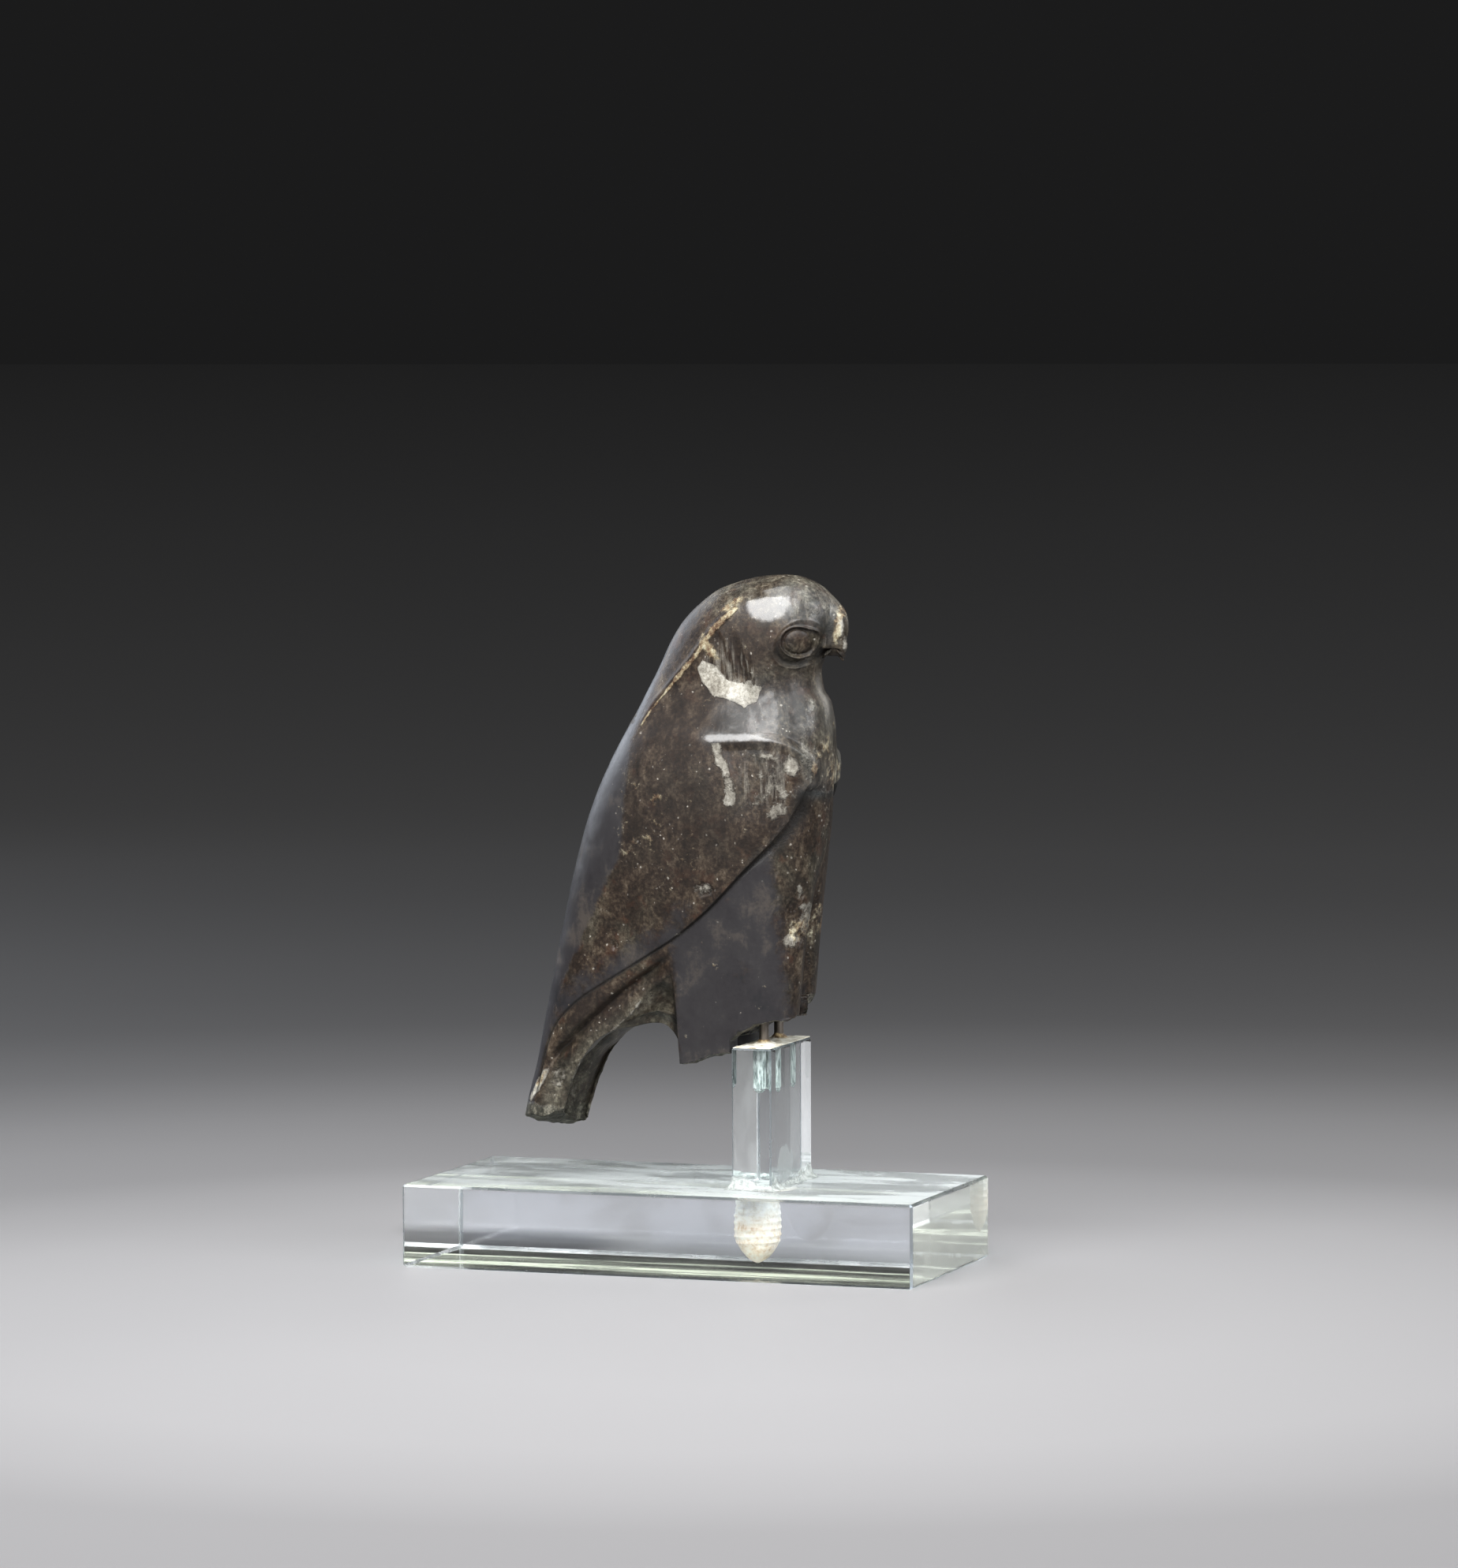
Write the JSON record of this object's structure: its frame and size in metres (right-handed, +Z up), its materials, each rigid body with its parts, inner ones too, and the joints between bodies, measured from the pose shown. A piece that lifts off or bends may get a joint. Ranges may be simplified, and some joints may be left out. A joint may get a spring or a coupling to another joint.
{
  "type": "horus falcon figure",
  "caption": "Small standing falcon carved in dark stone, broken at legs and tail, held by metal pins over a clear acrylic post and base block.",
  "frame": {"origin": "middle of the underside of the stand's base", "axes": "+X forward, the way the falcon's beak points, +Y to the falcon's left, +Z up"},
  "size_m": [0.097, 0.045, 0.1251],
  "materials": {
    "stone": "polished dark brown-black stone with worn, mottled patches",
    "pin_metal": "dull dark metal rod",
    "acrylic": "clear polished sheet"
  },
  "bodies": {
    "root": {"falcon": "stone", "pin_right": "pin_metal", "pin_left": "pin_metal", "stand_post": "acrylic", "stand_base": "acrylic"}
  },
  "joints": []
}
